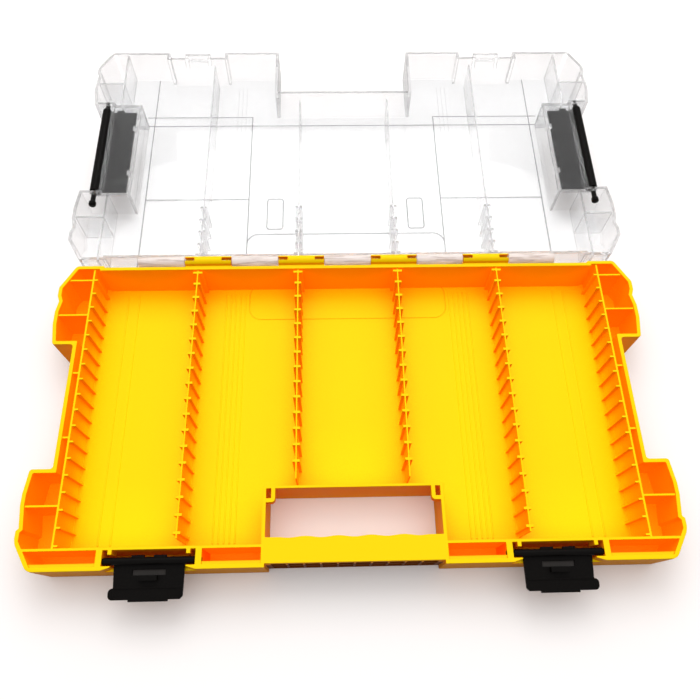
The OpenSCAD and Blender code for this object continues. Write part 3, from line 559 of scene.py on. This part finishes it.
# ---------------------------------------------------------------------------
# Front latches, side latches and the side latches' pins: mouldings of black plastic with a
# spark-eroded grain. A front latch snaps into its bay in the tray by two stubs and hangs open
# there. A side latch turns on a headed pin and lies stowed in the lid.

LATCH_EDGE = 0.25 * MM
# Seams across the windows, stubs and bars of the front latches, and the bores of the side latches
LATCH_CUTS = [
    *((X, way * x, *EVERYWHERE) for way in (-1, 1) for x in (98.3, 109.1, 119.8, 170.5)),
    (Z, 23.2, (-FAR, 140, 0), (FAR, FAR, FAR)),
]
DROOP = np.radians(8)  # how far below level a front latch hangs
# The small window in a front latch: half its width, then from and to along the plate and below it
WINDOW_HALF, WINDOW_REACH, WINDOW_DEPTH = 8.7, (4.4, 7.2), (1.5, 2.9)


def black_plastic():
    """Black plastic with a fine spark-eroded grain, and painted light in the windows of the front
    latches, which are painted a paler grey."""
    material, tree, shader = new_material("black_plastic")
    grain = noise(tree, put(tree, "TexCoord").outputs["Object"], 900, 3)
    tint = ramp(tree, grain, [(0, (0.002, 0.0015, 0.0015)), (1, (0.006, 0.005, 0.004))])
    # Painted light: paler grey in the windows of the front latches
    painted_window_light = put(tree, "Attribute", attribute_name="painted_window_light").outputs["Fac"]
    feed(tree, shader, {
        "Base Color": blend(tree, painted_window_light, tint, (0.035, 0.032, 0.030, 1)),
        "Roughness": 0.42,
        "Specular IOR Level": 0.09,
        "Normal": grained(tree, grain, 0.25),
    })
    return material


def in_window(mesh):
    """Which faces of a front latch lie in its window, measured along the hanging plate."""
    x, y, z = face_rows(mesh, "center").T / MM
    out, up = LATCH_Y - y, z - LATCH_Z
    reach = out * np.cos(DROOP) - up * np.sin(DROOP)
    depth = -up * np.cos(DROOP) - out * np.sin(DROOP)
    return ((np.abs(np.abs(x) - LATCH_X) < WINDOW_HALF)
            & (reach > WINDOW_REACH[0]) & (reach < WINDOW_REACH[1])
            & (depth > WINDOW_DEPTH[0]) & (depth < WINDOW_DEPTH[1]))


BLACK = black_plastic()
for side in ("left", "right"):
    for node, body in (("front_latch_" + side, "front_latch_" + side),
                       ("side_latch_" + side, "side_latch_" + side),
                       ("side_latch_pin_" + side, "side_latch_" + side)):
        piece = moulding(node + "_moulding", [node], body, LATCH_EDGE, LATCH_CUTS)
        piece.data.materials.append(BLACK)
        if node.startswith("front"):
            # Painted light: the faces in the window are painted a paler grey
            face_share(piece.data, "painted_window_light", in_window(piece.data))

# ---------------------------------------------------------------------------
# Camera, floor, sky and lamp: a 36 mm lens looks down on the case from the front. The case lies on
# white paper, under a white sky that is brightest overhead and leans towards the hinge side, with
# one soft lamp behind it.

camera = bpy.data.objects.new("camera", bpy.data.cameras.new("camera"))
camera.data.lens = 36.16
camera.data.sensor_width = 36
camera.data.clip_start = 0.01
camera.location = (-0.01060, -0.15093, 0.40999)
camera.rotation_euler = Euler(np.radians((25.5625, -0.9668, -1.3179)), "XYZ")
scene.collection.objects.link(camera)
scene.camera = camera

HALF = 3.0  # half a side of the floor, in metres
BELOW = 0.2 * MM  # the floor lies this far under the case, so that the two never share a plane
WHITE = (1, 1, 1, 1)
PAPER = (0.9, 0.9, 0.9, 1)
PAPER_IN_BOUNCES = (0.38, 0.38, 0.38, 1)
IN_MIRROR = 0.6    # how far the paper goes from the one to the other in a mirror image
PAPER_GLOW = 0.1

# The paper is greyer for rays that come from the case, and it glows a little for all others, so
# that it looks white while the case's sides stay dark
floor_mesh = bpy.data.meshes.new("floor")
floor_mesh.from_pydata(
    [(-HALF, -HALF, 0), (HALF, -HALF, 0), (HALF, HALF, 0), (-HALF, HALF, 0)], [], [(0, 1, 2, 3)])
floor = bpy.data.objects.new("floor", floor_mesh)
floor.location.z = -BELOW
scene.collection.objects.link(floor)
paper, tree, shader = new_material("white_paper")
ray = put(tree, "LightPath").outputs
mirrored = reckon(tree, "SUBTRACT", ray["Is Glossy Ray"], ray["Is Transmission Ray"])
bounced = reckon(tree, "MULTIPLY_ADD", mirrored, IN_MIRROR, ray["Is Diffuse Ray"], clamp=True)
feed(tree, shader, {
    "Base Color": blend(tree, bounced, PAPER, PAPER_IN_BOUNCES),
    "Roughness": 1,
    "Specular IOR Level": 0,
    "Emission Color": WHITE,
    "Emission Strength": reckon(tree, "MULTIPLY_ADD", bounced, -PAPER_GLOW, PAPER_GLOW),
})
floor_mesh.materials.append(paper)

OVERHEAD = 1.52
HORIZON = 0.1
LEAN = np.radians(22)  # how far the bright part leans towards the hinge side
LOW, HIGH = 0.3, 0.82  # where the sky starts and stops to brighten
GLASS_LOW, GLASS_HIGH, GLASS_HORIZON = 0.1, 0.6, 0.6  # the same for the sky seen in the plastic
MIRRORED_SKY = 0.55  # how bright the sky is in a mirror image
SKY_GLOW = (1, 0.7, 0.6, 1)  # its colour at the horizon

# The sky is bright overhead and dim and warm at the horizon. Seen in the plastic or through it, it
# is white and more even, half as bright in a mirror image, and the camera sees plain white
world = bpy.data.worlds.new("studio")
world.use_nodes = True
tree = world.node_tree
way = put(tree, "TexCoord").outputs["Generated"]
upward = put(tree, "SeparateXYZ", {"Vector": way}).outputs["Z"]
leaning = (0, np.sin(LEAN), np.cos(LEAN))
tilt = put(tree, "VectorMath", {0: way, 1: leaning}, operation="DOT_PRODUCT").outputs["Value"]
ray = put(tree, "LightPath").outputs
glass = reckon(tree, "MAXIMUM", ray["Is Glossy Ray"], ray["Is Transmission Ray"])
mirrored = reckon(tree, "SUBTRACT", ray["Is Glossy Ray"], ray["Is Transmission Ray"], clamp=True)
direct = reckon(tree, "MAXIMUM", ray["Is Camera Ray"], glass)
level = slide(tree, tilt, LOW, HIGH, HORIZON, OVERHEAD)
even = slide(tree, upward, GLASS_LOW, GLASS_HIGH, GLASS_HORIZON, 1)
dimmed = reckon(tree, "MULTIPLY", slide(tree, mirrored, 0, 1, 1, MIRRORED_SKY), even)
through = put(tree, "Mix", {"Factor": glass, "A": level, "B": dimmed})
seen = put(tree, "Mix", {
    "Factor": ray["Is Camera Ray"], "A": through.outputs["Result"], "B": 1})
whiter = reckon(tree, "MAXIMUM", direct, slide(tree, tilt, LOW, HIGH, 0, 1))
feed(tree, tree.nodes["Background"], {
    "Color": blend(tree, whiter, SKY_GLOW, WHITE), "Strength": seen.outputs["Result"]})
scene.world = world

LAMP_PLACE, LAMP_AIM = Vector((0.0, 0.8, 1.2)), Vector((0, 0.05, 0))
lamp = bpy.data.objects.new("key", bpy.data.lights.new("key", "AREA"))
lamp.data.shape = "SQUARE"
lamp.data.size = 0.8
lamp.data.energy = 4
lamp.location = LAMP_PLACE
lamp.rotation_euler = (LAMP_AIM - LAMP_PLACE).to_track_quat("-Z", "Y").to_euler()
scene.collection.objects.link(lamp)

scene.view_settings.view_transform = "Standard"
